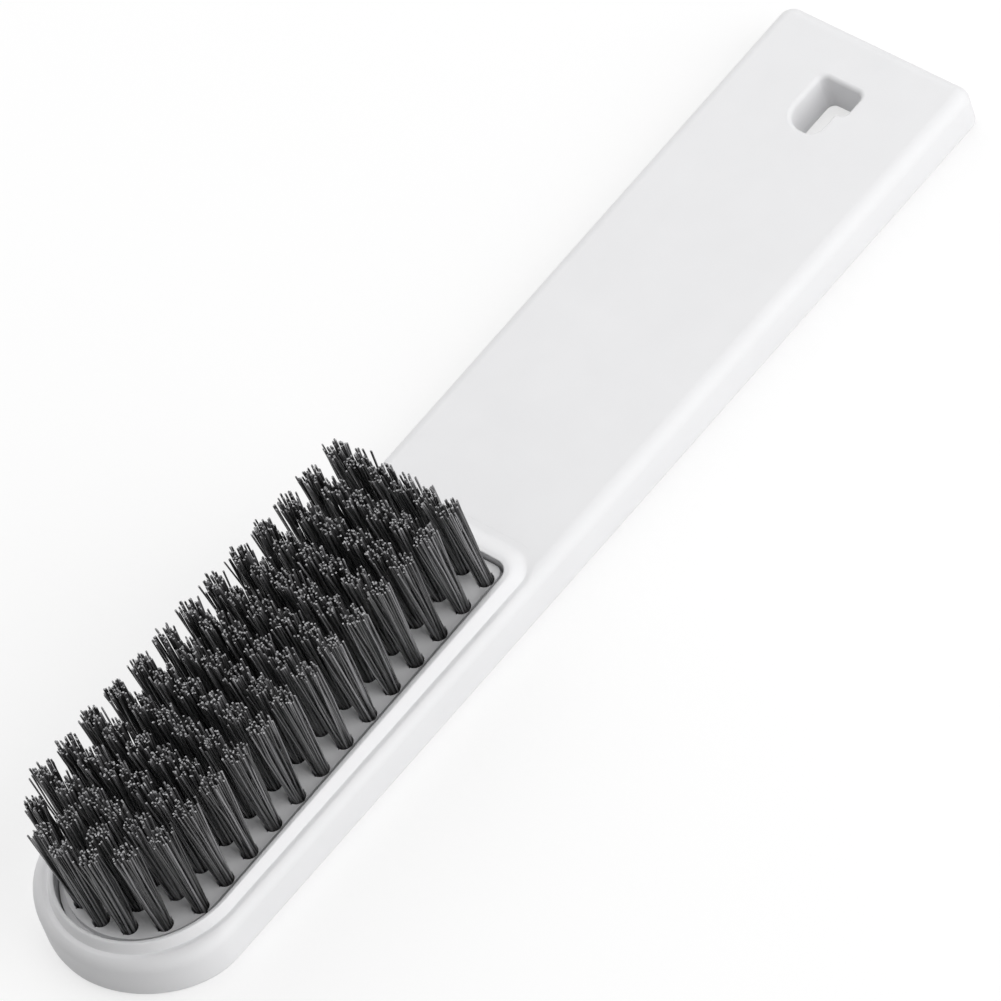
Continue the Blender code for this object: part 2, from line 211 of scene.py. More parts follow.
class ScrubBrushHandle(bpy.types.PropertyGroup):
    """Sizes of the moulded handle and head."""

    head_width: length("Head width", 50.0, "Width of the slab where the round tip starts")
    end_width: length("End width", 51.7, "Width of the slab at the handle's end")
    thickness: length("Thickness", 10.8, "Height of the slab's face over its back")
    tip_length: length("Tip length", 20.9, "Length of the round tip")
    tip_power: FloatProperty(
        name="Tip power", description="2 is an ellipse, more is squarer", default=1.9, min=1.0
    )
    face_fillet: length("Face fillet", 3.2, "Radius between the face and the side walls")
    back_fillet: length("Back fillet", 1.5, "Radius between the back and the side walls")
    end_corner: length("End corner", 3.6, "Radius of the two corners of the handle's end")
    rim_height: length("Rim height", 2.0, "Height of the rim's crest over the face")
    rim_round: length("Rim round", 26.0, "Distance from the tip to the rim's round stretch")
    rim_side: length("Rim side", 2.8, "Distance from the side wall to the rim's foot")
    rim_tip: length("Rim tip", 3.1, "Distance from the tip's end to the rim's foot")
    rim_groove: length("Rim groove", 0.36, "Depth of the groove along the rim's foot")
    groove_reach: length("Groove reach", 1.3, "How far the groove spreads out from that foot")
    rim_edge: length("Rim edge", 0.35, "How far the rim's inner edge lies below its crest")
    flank: factor("Flank", 0.6, "Share of the rim's width that its flank takes")
    cove: factor("Cove", 0.55, "How far the flank starts like a cove rather than a round")
    neck_crest: length("Neck crest", 0.9, "Width of the crest on the neck side")
    neck_ramp: length("Neck ramp", 4.6, "Length of the ramp from the crest to the face")
    recess_neck: length("Recess neck", 6.0, "Distance from the side wall to the recess at the neck")
    recess_side: length("Recess side", 4.8, "The same distance where the round stretch starts")
    recess_tip: length("Recess tip", 4.95, "Distance from the tip's end to the recess")
    recess_end: length("Recess end", 122.1, "Distance from the tip to the recess's neck wall")
    recess_corner: length("Recess corner", 3.4, "Radius of the recess's two neck corners")
    recess_floor: length("Recess floor", 5.7, "Height of the recess's floor over the back")


class ScrubBrushHole(bpy.types.PropertyGroup):
    """Sizes of the hang hole."""

    end_in: length("Distance in", 13.0, "Distance from the handle's end to the hole")
    length: length("Length", 14.2, "Length of the hole along the handle")
    width: length("Width", 11.4, "Width of the hole at the handle's end")
    end_corner: length("End corner", 1.6, "Radius of the corners nearest the end")
    far_corner: length("Far corner", 5.0, "Radius of the corner on the +Y side")
    near_corner: length("Near corner", 3.0, "Radius of the corner on the -Y side")
    step_length: length("Step length", 7.4, "Length over which the -Y side is stepped in")
    step_depth: length("Step depth", 2.4, "How far that side is stepped in")
    step_corner: length("Step corner", 1.25, "Radius of the step's two corners")
    mouth: length("Mouth", 1.2, "Radius that rounds the hole's edges at both faces")


class ScrubBrushPlate(bpy.types.PropertyGroup):
    """Sizes of the bristle plate and the holes in it."""

    side_gap: length("Side gap", 0.35, "Gap between the plate and the recess's walls")
    ledge: length("Ledge", 1.28, "Width of the ledge along the plate's sides and tip")
    ledge_drop: length("Ledge drop", 1.6, "Depth of that ledge below the plate's top")
    edge: length("Edge", 0.15, "Width of the plate's broken top edge")
    corner: length("Corner", 2.4, "Radius of the raised part's two neck corners")
    hole: length("Hole", 3.9, "Diameter of each tuft's hole")
    hole_depth: length("Hole depth", 4.2, "Depth of each tuft's hole")
    nick_reach: length("Nick reach", 0.25, "How far the anchor's nick runs past the hole")
    nick_width: length("Nick width", 0.4, "Width of the anchor's nick")
    anchor_height: length("Anchor height", 1.7, "Height of the flat metal anchor")
    anchor_depth: length("Anchor depth", 1.3, "Depth of the anchor's top below the plate")


class ScrubBrushTufts(bpy.types.PropertyGroup):
    """Places and sizes of the tufts and their filaments."""

    full_rows: IntProperty(
        name="Full rows", description="Rows of equal tufts across the head", default=13, min=2
    )
    across: IntProperty(
        name="Tufts across", description="Tufts in each full row", default=6, min=2
    )
    first_row: length("First row", 4.5, "Distance from the recess's neck wall to the first row")
    last_row: length("Last row", 17.7, "Distance from the recess's tip to the last full row")
    outer_tuft: length("Outer tuft", 3.6, "Distance from the recess's side to the outer tufts")
    filaments: IntProperty(
        name="Filaments", description="Filaments in each tuft", default=40, min=5
    )
    filament: length("Filament", 0.46, "Diameter of one filament")
    bundle: length("Bundle", 3.15, "Width of a tuft at its hole, between filament middles")
    trim: length("Trim", 25.2, "Height of the cut ends over the plate")
    uneven: length("Unevenness", 0.65, "How much the cut ends differ in height")
    crown_along: length("Crown along", 2.75, "How far a crown spreads along the head")
    crown_across: length("Crown across", 2.5, "How far a crown spreads across the head")
    tip_crown: factor("Tip crown", 0.88, "Spread of the tip's crowns as a share of the others'")
    lean: length("Lean", 1.0, "How far the crowns lean to the tip")
    lean_across: length("Lean across", 1.6, "How far the crowns lean to the +Y side")
    stray: length("Stray", 0.42, "How far a filament wanders from its place at its end")


class ScrubBrushFinishes(bpy.types.PropertyGroup):
    """Colours and gloss of the brush's materials."""

    handle: colour("Handle", (0.82, 0.82, 0.83), "Light grey of the moulded handle")
    handle_roughness: factor("Handle roughness", 0.58, "How dull the handle is")
    plate: colour("Plate", (0.70, 0.70, 0.71), "Light mid grey of the bristle plate")
    plate_roughness: factor("Plate roughness", 0.5, "How dull the plate is")
    filament: colour("Filament", (0.086, 0.085, 0.088), "Dark grey of the filaments")
    filament_roughness: factor("Filament roughness", 0.32, "How dull the filaments are")
    # The cut ends' paler grey is partly their own paler tone and partly a painted highlight where
    # the tips catch the light
    cut_end_and_highlight: colour("Cut end", (0.38, 0.38, 0.39), "Paler grey of the filaments' cut ends")
    anchor: colour("Anchor", (0.55, 0.53, 0.50), "Colour of the metal anchors")
    anchor_roughness: factor("Anchor roughness", 0.35, "How dull the anchors are")


class ScrubBrushStage(bpy.types.PropertyGroup):
    """The floor, the lights and the camera."""

    floor: colour("Floor", (0.7, 0.7, 0.7), "Colour of the floor that the light bounces off")
    floor_lit: factor("Floor lit", 0.4, "Grey of the floor where it is seen, under its white")
    floor_white: factor("Floor white", 0.62, "White that the floor adds where it is seen")
    fill: factor("Fill", 0.32, "Strength of the even light from all round")
    key: FloatProperty(
        name="Key", description="Power of the low front light, in watts", default=11.6, min=0.0
    )
    key_size: length("Key size", 1200.0, "Width of the low front light")
    top: FloatProperty(
        name="Top", description="Power of the broad top light, in watts", default=9.8, min=0.0
    )
    top_size: length("Top size", 1600.0, "Width of the broad top light")
    light_distance: length("Light distance", 1100.0, "Distance of both lights")
    camera_distance: length("Camera distance", 2300.0, "Distance of the camera")


# Plan outlines, as arrays of points listed anticlockwise seen from above

def from_tip(distance):
    """The X of a place that is this far from the tip's end."""
    return TIP_X + distance


def half_width(sizes, distance):
    """Half the slab's width at a distance from the tip: a straight line from the head's half
    width at the tip's start to the end's half width at the end."""
    run = (distance - sizes.tip_length) / (END_X - TIP_X - sizes.tip_length)
    return (sizes.head_width + (sizes.end_width - sizes.head_width) * run) / 2


def corner_arc(x, y, radius, start):
    """A quarter circle about (x, y), anticlockwise from the angle start: the middle plus the
    radius times the cosine and sine of an angle that runs through a quarter turn."""
    angle = start + np.linspace(0, math.pi / 2, CORNER_STEPS + 1)
    return np.column_stack([x + radius * np.cos(angle), y + radius * np.sin(angle)])


def round_tip(start, reach, side, power):
    """A round tip that starts this far from the tip's end, from its +Y side to its -Y side.
    It is half a superellipse: its reach and side times the cosine and sine of an angle, both
    to the power 2/p."""
    angle = np.linspace(math.pi / 2, 3 * math.pi / 2, TIP_STEPS + 1)
    along = np.abs(np.cos(angle)) ** (2 / power) * reach
    across = np.abs(np.sin(angle)) ** (2 / power) * side
    return np.column_stack([from_tip(start - along), np.copysign(across, np.sin(angle))])


def straight_end(end, side, corner):
    """A straight end at a distance from the tip's end, with half its width and a quarter
    circle at each corner."""
    radius = max(corner, SMALLEST_CORNER)
    x = from_tip(end) - radius
    y = side - radius
    return np.vstack(
        [corner_arc(x, -y, radius, -math.pi / 2), corner_arc(x, y, radius, 0)]
    )


def slab_outline(sizes, inset):
    """The whole slab's outline drawn in by inset."""
    tip = round_tip(
        sizes.tip_length, sizes.tip_length - inset, sizes.head_width / 2 - inset, sizes.tip_power
    )
    side = sizes.end_width / 2 - inset
    end = straight_end(END_X - TIP_X - inset, side, sizes.end_corner - inset)
    return np.vstack([tip, end])


def rim_outline(sizes, share, end, out=0.0):
    """An outline this share of the way through the rim, from its foot to the recess, with its
    neck side at a distance from the tip's end. All but that side is moved out by out."""
    tip_in = sizes.rim_tip + (sizes.recess_tip - sizes.rim_tip) * share - out
    side_in = sizes.rim_side + (sizes.recess_side - sizes.rim_side) * share - out
    neck_in = sizes.rim_side + (sizes.recess_neck - sizes.rim_side) * share - out
    side = half_width(sizes, sizes.rim_round) - side_in
    tip = round_tip(sizes.rim_round, sizes.rim_round - tip_in, side, 2)
    corner = sizes.recess_corner + sizes.recess_neck - neck_in
    return np.vstack([tip, straight_end(end, half_width(sizes, end) - neck_in, corner)])


def recess_side(sizes, distance):
    """Half the recess's width at a distance from the tip's end: the slab's half width less a
    wall that grows evenly to the neck, and before the round stretch ends an ellipse's."""
    straight = max(distance, sizes.rim_round)
    run = (straight - sizes.rim_round) / (sizes.recess_end - sizes.rim_round)
    wall = sizes.recess_side + (sizes.recess_neck - sizes.recess_side) * run
    into_tip = (straight - distance) / (sizes.rim_round - sizes.recess_tip)
    return (half_width(sizes, straight) - wall) * math.sqrt(1 - into_tip**2)


def recess_outline(sizes, step_in, neck_in, corner):
    """The recess's outline drawn in by a step along its sides and tip and by another at the
    neck, with this radius at its two neck corners."""
    side = recess_side(sizes, sizes.rim_round) - step_in
    tip = round_tip(sizes.rim_round, sizes.rim_round - sizes.recess_tip - step_in, side, 2)
    end_side = recess_side(sizes, sizes.recess_end) - step_in
    return np.vstack([tip, straight_end(sizes.recess_end - neck_in, end_side, corner)])


def hole_outline(hole, grow):
    """The hang hole's outline moved out by grow: a rectangle whose -Y side steps in over the
    length nearest the head. Each corner is a quarter circle whose middle stays where it is, so
    outer corners widen by grow and the step's inner one tightens, to the smallest corner at
    most."""
    end = END_X - hole.end_in
    start = end - hole.length
    step = start + hole.step_length
    side = hole.width / 2
    ledge = hole.step_depth - side
    corners = (
        (end, -side, hole.end_corner),
        (end, side, hole.end_corner),
        (start, side, hole.far_corner),
        (start, ledge, hole.near_corner),
        (step, ledge, hole.step_corner),
        (step, -side, hole.step_corner),
    )
    places = np.array([corner[:2] for corner in corners])
    coming = places - np.roll(places, 1, axis=0)
    coming /= np.linalg.norm(coming, axis=1, keepdims=True)
    going = np.roll(coming, -1, axis=0)
    outer = coming[:, 0] * going[:, 1] - coming[:, 1] * going[:, 0] > 0
    radii = np.array([corner[2] for corner in corners])
    turn = np.maximum(np.where(outer, radii + grow, radii - grow), SMALLEST_CORNER)[:, None]
    outward = np.column_stack([coming[:, 1], -coming[:, 0]])
    outward += np.column_stack([going[:, 1], -going[:, 0]])
    middle = places + grow * outward + turn * (going - coming)
    angle = np.linspace(0, math.pi / 2, CORNER_STEPS + 1)[None, :, None]
    arc = np.sin(angle) * coming[:, None] - np.cos(angle) * going[:, None]
    return (middle[:, None] + turn[:, None] * arc).reshape(-1, 2)


# Skins over outlines

def at_height(outline, height):
    """A plan outline lifted to a height, or each of its points to its own."""
    return np.column_stack([outline, np.broadcast_to(height, len(outline))])


def quarter_round(steps, reach=1.0):
    """The two shares of a quarter round, from its upright end to its level one: one less the
    cosine, and the sine, of an angle that runs through that much of a quarter turn."""
    angle = np.linspace(0, reach * math.pi / 2, steps + 1)
    return list(zip(1 - np.cos(angle), np.sin(angle)))


def skinned(name, stacks):
    """One piece of closed skins, each through a stack of rings of equal length, bottom first:
    a quad between each two points of a ring and those of the next, and one flat face over each
    end. The stacks are points as (stack, ring, place in the ring, 3)."""
    count, levels, around = stacks.shape[:3]
    index = np.arange(count * levels * around).reshape(count, levels, around)
    beside = np.roll(index, -1, axis=2)
    quads = np.stack([index[:, :-1], beside[:, :-1], beside[:, 1:], index[:, 1:]], axis=-1)
    sides = quads.reshape(-1, 4).tolist()
    feet = index[:, 0, ::-1].tolist()
    ends = index[:, -1].tolist()
    return new_piece(name, stacks.reshape(-1, 3), sides + feet + ends)


def lofted(name, rings):
    """One closed skin through a stack of rings of equal length, bottom first."""
    return skinned(name, np.array(rings)[None])


def prisms(name, places, outline, low, high):
    """One piece of upright prisms, all with this outline about their place, between heights."""
    stacks = np.empty((len(places), 2, len(outline), 3))
    stacks[..., :2] = places[:, None, None] + outline
    stacks[..., 2] = np.array([low, high])[None, :, None]
    return skinned(name, stacks)


def new_piece(name, points, faces):
    """An object at the origin whose mesh has these points and faces."""
    mesh = bpy.data.meshes.new(name)
    mesh.from_pydata(points.tolist(), [], faces)
    mesh.update()
    piece = bpy.data.objects.new(name, mesh)
    bpy.context.scene.collection.objects.link(piece)
    return piece


def joined(solid, operation, tool):
    """Joins or cuts a solid with another one, which is then removed."""
    boolean = solid.modifiers.new(operation, "BOOLEAN")
    boolean.operation = operation
    boolean.solver = "EXACT"
    boolean.object = tool
    graph = bpy.context.evaluated_depsgraph_get()
    made = bpy.data.meshes.new_from_object(solid.evaluated_get(graph))
    solid.modifiers.clear()
    spent = solid.data
    solid.data = made
    made.name = solid.name
    bpy.data.meshes.remove(spent)
    bpy.data.objects.remove(tool)


def smoothed(piece, sharp_degrees):
    """Shades a piece smooth, keeps its corners sharp and its flat faces flat."""
    piece.data.shade_smooth()
    piece.data.set_sharp_from_angle(angle=math.radians(sharp_degrees))
    even = piece.modifiers.new("even_normals", "WEIGHTED_NORMAL")
    even.mode = "FACE_AREA_WITH_ANGLE"
    even.keep_sharp = True


# Materials

def link(tree, source, target):
    """Joins an output socket to an input socket."""
    tree.links.new(source, target)


def noise(tree, size, detail=3.0):
    """A noise pattern whose patches are about this many metres wide."""
    place = tree.nodes.new("ShaderNodeTexCoord")
    pattern = tree.nodes.new("ShaderNodeTexNoise")
    pattern.inputs["Scale"].default_value = 1 / size
    pattern.inputs["Detail"].default_value = detail
    link(tree, place.outputs["Object"], pattern.inputs["Vector"])
    return pattern.outputs["Fac"]


def spread(tree, value, low, high):
    """Spreads the middle half of a pattern between two values."""
    ranged = tree.nodes.new("ShaderNodeMapRange")
    ranged.inputs["From Min"].default_value = NOISE_LOW
    ranged.inputs["From Max"].default_value = NOISE_HIGH
    ranged.inputs["To Min"].default_value = low
    ranged.inputs["To Max"].default_value = high
    link(tree, value, ranged.inputs["Value"])
    return ranged.outputs["Result"]


def blended(tree, value, low, high):
    """A colour between two others, by a pattern or an attribute. Either may be a socket."""
    mix = tree.nodes.new("ShaderNodeMix")
    mix.data_type = "RGBA"
    link(tree, value, mix.inputs["Factor"])
    for socket, given in ((mix.inputs[MIX_LOW], low), (mix.inputs[MIX_HIGH], high)):
        if isinstance(given, bpy.types.NodeSocket):
            link(tree, given, socket)
        else:
            socket.default_value = (*given, 1)
    return mix.outputs[MIX_RESULT]


def shaded(shade, share):
    """A colour made lighter or darker by a share of itself."""
    return tuple(min(part * (1 + share), 1.0) for part in shade)


def bumped(tree, shader, patterns):
    """Bumps the surface by patterns, each a (pattern, height in metres, strength)."""
    normal = None
    for pattern, height, strength in patterns:
        bump = tree.nodes.new("ShaderNodeBump")
        bump.inputs["Distance"].default_value = height
        bump.inputs["Strength"].default_value = strength
        link(tree, pattern, bump.inputs["Height"])
        if normal is not None:
            link(tree, normal, bump.inputs["Normal"])
        normal = bump.outputs["Normal"]
    link(tree, normal, shader.inputs["Normal"])


def new_material(name):
    """A new node material, with its tree and its shader."""
    material = bpy.data.materials.new(name)
    material.use_nodes = True
    tree = material.node_tree
    return material, tree, tree.nodes["Principled BSDF"]


def moulded_plastic(name, shade, roughness, mottle, grain):
    """A moulded plastic: faint cloudy mottling, a fine spark-eroded grain, a slow waviness
    from cooling, and gloss that varies a little."""
    material, tree, shader = new_material(name)
    clouds = spread(tree, noise(tree, MOTTLE_SIZE), 0, 1)
    tint = blended(tree, clouds, shaded(shade, -mottle), shaded(shade, mottle))
    link(tree, tint, shader.inputs["Base Color"])
    least, most = (roughness * share for share in GLOSS_SHARES)
    gloss = spread(tree, noise(tree, GLOSS_SIZE), least, most)
    link(tree, gloss, shader.inputs["Roughness"])
    fine = noise(tree, grain, detail=2.0)
    slow = noise(tree, WAVE_SIZE, detail=1.0)
    waves = (slow, WAVE_HEIGHT, WAVE_STRENGTH)
    bumped(tree, shader, (waves, (fine, GRAIN_HEIGHT, GRAIN_STRENGTH)))
    return material


def filament_plastic(name, finishes):
    """Extruded filament: each filament has its own shade, its cut end is paler, partly the cut's
    own paler tone and partly a painted highlight where the tips catch the light, and faint streaks
    of gloss run along it."""
    material, tree, shader = new_material(name)
    shade = tree.nodes.new("ShaderNodeAttribute")
    shade.attribute_name = "filament_shade"
    cut = tree.nodes.new("ShaderNodeAttribute")
    cut.attribute_name = "cut_end_and_highlight"
    dark = shaded(finishes.filament, DARK_FILAMENT_SHARE)
    pale = shaded(finishes.filament, PALE_FILAMENT_SHARE)
    body = blended(tree, shade.outputs["Fac"], dark, pale)
    # The cut end's paler colour is partly its own tone and partly a painted highlight on the lit
    # tips
    whole = blended(tree, cut.outputs["Fac"], body, tuple(finishes.cut_end_and_highlight))
    link(tree, whole, shader.inputs["Base Color"])
    least, most = (finishes.filament_roughness * share for share in STREAK_GLOSS_SHARES)
    streaks = spread(tree, noise(tree, STREAK_SIZE), least, most)
    link(tree, streaks, shader.inputs["Roughness"])
    shader.inputs["Specular IOR Level"].default_value = FILAMENT_SHEEN
    return material


def anchor_metal(name, finishes):
    """Drawn flat wire: a grey metal with fine scratches."""
    material, tree, shader = new_material(name)
    scratches = noise(tree, SCRATCH_SIZE)
    dark = shaded(finishes.anchor, SCRATCH_SHARE)
    tone = blended(tree, scratches, dark, tuple(finishes.anchor))
    link(tree, tone, shader.inputs["Base Color"])
    shader.inputs["Metallic"].default_value = 1.0
    least, most = (finishes.anchor_roughness * share for share in SCRATCH_GLOSS_SHARES)
    link(tree, spread(tree, scratches, least, most), shader.inputs["Roughness"])
    return material


# The places of the tufts

def tuft_places(sizes, tufts):
    """The plan places of the tufts, row by row from the neck to the tip: equal rows at an
    even pitch along the head, then four and three tufts in the round tip."""
    first = sizes.recess_end - tufts.first_row
    last = sizes.recess_tip + tufts.last_row
    rows = []
    for distance in np.linspace(first, last, tufts.full_rows):
        outer = recess_side(sizes, distance) - tufts.outer_tuft
        across = np.linspace(-outer, outer, tufts.across)
        rows.append(np.column_stack([np.full(tufts.across, from_tip(distance)), across]))
    reach = sizes.rim_round - sizes.recess_tip
    side = recess_side(sizes, sizes.rim_round)
    for shares in TIP_ROW_SHARES:
        part = np.array(shares)
        rows.append(
            np.column_stack([from_tip(sizes.rim_round - reach * part[:, 0]), side * part[:, 1]])
        )
    return rows


# The pieces

def make_slab(sizes):
    """The slab: its outline carried up a profile of a back fillet, an upright wall and a face
    fillet. On a fillet the outline draws in as its radius less a circle's."""
    back = [
        at_height(
            slab_outline(sizes, sizes.back_fillet * (1 - rise)), sizes.back_fillet * draw
        )
        for draw, rise in quarter_round(FILLET_STEPS)
    ]
    foot = sizes.thickness - sizes.face_fillet
    face = [
        at_height(
            slab_outline(sizes, sizes.face_fillet * draw), foot + sizes.face_fillet * rise
        )
        for draw, rise in quarter_round(FILLET_STEPS)
    ]
    return lofted("handle", back + face)


def along_foot():
    """How much of the groove each point of a rim outline has: all of it round the tip and along
    the sides, then less and less over the first half of each neck corner, and none on the neck
    side. It fades as three times a square less twice a cube."""
    turn = np.clip(2 * np.linspace(0, 1, CORNER_STEPS + 1), 0, 1)
    fade = turn * turn * (3 - 2 * turn)
    return np.concatenate([np.ones(TIP_STEPS + 1), 1 - fade, (1 - fade)[::-1]])


def slab_height(sizes, outline):
    """The height of the slab's top over plan points. The inset of the slab's outline that runs
    through each point is found by halving, and on the fillet the top lies below the face as a
    circle does at that inset."""
    distance = outline[:, 0] - TIP_X
    along = np.maximum(sizes.tip_length - distance, 0)
    across = np.abs(outline[:, 1])
    side = half_width(sizes, np.maximum(distance, sizes.tip_length))
    low = np.zeros(len(outline))
    high = np.full(len(outline), sizes.face_fillet)
    for _ in range(HALVINGS):
        middle = (low + high) / 2
        reach = (along / (sizes.tip_length - middle)) ** sizes.tip_power
        inside = reach + (across / (side - middle)) ** sizes.tip_power < 1
        low = np.where(inside, middle, low)
        high = np.where(inside, high, middle)
    short = sizes.face_fillet - low
    return sizes.thickness - sizes.face_fillet + np.sqrt(sizes.face_fillet**2 - short**2)


def make_rim(sizes):
    """The rim and the recess as one tray: a root wall, a bank that dives under the slab's top, a
    groove that sinks below that top as half a wave, a flank that rises as a blend of a sine and
    half a wave, an inner edge, and the recess's wall down to its floor. The inner edge lies
    below the crest by its height times the square of one less a sine, and draws in to the
    recess as one less a cosine. The neck side rises as half a wave from the face. The flank's
    rings are closest at the foot: their steps are an even step's square times two less
    itself."""
    crest = sizes.thickness + sizes.rim_height
    crest_end = sizes.recess_end + sizes.neck_crest
    foot_end = crest_end + sizes.neck_ramp
    dip = sizes.rim_groove * along_foot()
    reach = sizes.groove_reach
    rings = []
    for out in np.linspace(reach, 0, GROOVE_STEPS, endpoint=False):
        ring = rim_outline(sizes, 0, foot_end + out, out)
        depth = dip * (1 + math.cos(math.pi * out / reach)) / 2 + SINK
        rings.append(at_height(ring, slab_height(sizes, ring) - depth))
    foot = slab_height(sizes, rim_outline(sizes, 0, foot_end))
    even = np.linspace(0, 1, FLANK_STEPS + 1)
    for step in even**2 * (2 - even):
        wave = (1 - math.cos(math.pi * step)) / 2
        rise = sizes.cove * wave + (1 - sizes.cove) * math.sin(math.pi / 2 * step)
        end = crest_end + sizes.neck_ramp * math.acos(2 * min(rise, 1.0) - 1) / math.pi
        height = foot + (crest - foot) * rise - (dip + SINK) * (1 - rise)
        rings.append(at_height(rim_outline(sizes, sizes.flank * step, end), height))
    out = reach + BANK
    bank = at_height(rim_outline(sizes, 0, foot_end + out, out), rings[0][:, 2] - 2 * BANK)
    root = at_height(bank[:, :2], sizes.recess_floor - OVERRUN)
    for draw, rise in reversed(quarter_round(CREST_STEPS)):
        share = 1 - (1 - sizes.flank) * draw
        end = sizes.recess_end + sizes.neck_crest / 2 * draw
        height = crest - sizes.rim_edge * (1 - rise) ** 2
        rings.append(at_height(rim_outline(sizes, share, end), height))
    floor = at_height(rings[-1][:, :2], sizes.recess_floor)
    return lofted("rim", [root, bank, *rings, floor])


def make_well(sizes):
    """The block that clears the slab under the tray. Its side runs along the outside of the
    groove and of the neck's ramp."""
    out = sizes.groove_reach + SINK
    foot_end = sizes.recess_end + sizes.neck_crest + sizes.neck_ramp
    ring = rim_outline(sizes, 0, foot_end + out, out)
    low = sizes.recess_floor - OVERRUN / 2
    return lofted("well", [at_height(ring, low), at_height(ring, sizes.thickness + OVERRUN)])


def make_hang_hole(sizes, hole):
    """The hang hole's cutter: its outline carried up through the slab, moved out along a
    quarter round at both faces."""
    bevel = quarter_round(FILLET_STEPS // 2, MOUTH_SHARE)
    mouth = [
        (hole.mouth * draw, sizes.thickness + SINK - hole.mouth * (bevel[-1][1] - rise))
        for draw, rise in bevel
    ]
    back = [
        (hole.mouth * draw, hole.mouth * (bevel[-1][1] - rise) - SINK)
        for draw, rise in reversed(bevel)
    ]
    profile = [(back[0][0], -OVERRUN), *back, *mouth, (mouth[-1][0], sizes.thickness + OVERRUN)]
    return lofted("hang_hole", [at_height(hole_outline(hole, grow), z) for grow, z in profile])


class SCRUB_BRUSH_OT_handle(bpy.types.Operator):
    """Moulds the handle and head with the rim, the recess and the hang hole"""

    bl_idname = "scrub_brush.handle"
    bl_label = "Handle"

    def execute(self, context):
        sizes = context.scene.scrub_brush_handle
        finishes = context.scene.scrub_brush_finishes
        handle = make_slab(sizes)
        joined(handle, "DIFFERENCE", make_hang_hole(sizes, context.scene.scrub_brush_hole))
        joined(handle, "DIFFERENCE", make_well(sizes))
        joined(handle, "UNION", make_rim(sizes))
        smoothed(handle, HANDLE_SHARP)
        handle.data.materials.clear()
        handle.data.materials.append(
            moulded_plastic(
                "handle_plastic",
                tuple(finishes.handle),
                finishes.handle_roughness,
                HANDLE_MOTTLE_SHARE,
                HANDLE_GRAIN,
            )
        )
        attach(handle, "root")
        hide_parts("handle_body")
        return {"FINISHED"}


def make_plate(sizes, plate):
    """The plate without its holes: an upright wall, a flat ledge along the sides and the tip
    but not at the neck, a second upright wall, and a top edge that draws in as its width less
    a circle's."""
    gap = plate.side_gap
    ledge_z = PLATE_TOP_Z - plate.ledge_drop
    outer = recess_outline(sizes, gap, gap, sizes.recess_corner - gap)
    rings = [at_height(outer, PLATE_BASE_Z), at_height(outer, ledge_z)]
    for draw, rise in quarter_round(EDGE_STEPS):
        broken = plate.edge * draw
        ring = recess_outline(
            sizes, gap + plate.ledge + broken, gap + SINK + broken, plate.corner - broken
        )
        if not draw:
            rings.append(at_height(ring, ledge_z))
        rings.append(at_height(ring, PLATE_TOP_Z - plate.edge * (1 - rise)))
    return lofted("plate", rings)


def make_tuft_holes(plate, places):
    """One cutter for all the tufts' holes: each is a circle carried down to the hole's depth,
    with a narrow nick on its +X and -X sides, where the anchor bites."""
    angle = 2 * math.pi * (np.arange(HOLE_SIDES) + 0.5) / HOLE_SIDES
    ring = plate.hole / 2 * np.column_stack([np.cos(angle), np.sin(angle)])
    reach = plate.hole / 2 + plate.nick_reach
    half = plate.nick_width / 2
    root = math.sqrt((plate.hole / 2) ** 2 - half**2)
    nick = np.array([(root, -half), (reach, -half), (reach, half), (root, half)])
    beside = np.abs(ring[:, 1]) > half * NICK_CLEAR_SHARE
    upper = ring[beside & (ring[:, 1] > 0)]
    lower = ring[beside & (ring[:, 1] < 0)]
    outline = np.vstack([nick, upper, -nick, lower])
    low = PLATE_TOP_Z - plate.hole_depth
    return prisms("tuft_holes", places, outline, low, PLATE_TOP_Z + OVERRUN)


class SCRUB_BRUSH_OT_plate(bpy.types.Operator):
    """Makes the bristle plate with its ledge and its nicked holes"""

    bl_idname = "scrub_brush.plate"
    bl_label = "Bristle plate"

    def execute(self, context):
        sizes = context.scene.scrub_brush_handle
        plate_sizes = context.scene.scrub_brush_plate
        finishes = context.scene.scrub_brush_finishes
        plate = make_plate(sizes, plate_sizes)
        places = np.vstack(tuft_places(sizes, context.scene.scrub_brush_tufts))
        joined(plate, "DIFFERENCE", make_tuft_holes(plate_sizes, places))
        smoothed(plate, PLATE_SHARP)
        plate.data.materials.clear()
        plate.data.materials.append(
            moulded_plastic(
                "plate_plastic",
                tuple(finishes.plate),
                finishes.plate_roughness,
                PLATE_MOTTLE_SHARE,
                PLATE_GRAIN,
            )
        )
        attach(plate, "root")
        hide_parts("bristle_plate")
        return {"FINISHED"}


class SCRUB_BRUSH_OT_anchors(bpy.types.Operator):
    """Sets a flat metal anchor across the inside of each tuft's hole"""

    bl_idname = "scrub_brush.anchors"
    bl_label = "Anchors"

    def execute(self, context):
        sizes = context.scene.scrub_brush_handle
        plate = context.scene.scrub_brush_plate
        finishes = context.scene.scrub_brush_finishes
        places = np.vstack(tuft_places(sizes, context.scene.scrub_brush_tufts))
        reach = plate.hole / 2 + plate.nick_reach * ANCHOR_REACH_SHARE
        corners = SQUARE * np.array([reach, plate.nick_width * ANCHOR_HALF_SHARE])
        top = PLATE_TOP_Z - plate.anchor_depth
        anchors = prisms("anchors", places, corners, top - plate.anchor_height, top)
        bevel = anchors.modifiers.new("rolled_edges", "BEVEL")
        bevel.width = ANCHOR_EDGE
        bevel.segments = 1
        anchors.data.materials.append(anchor_metal("anchor_metal", finishes))
        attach(anchors, "root")
        return {"FINISHED"}


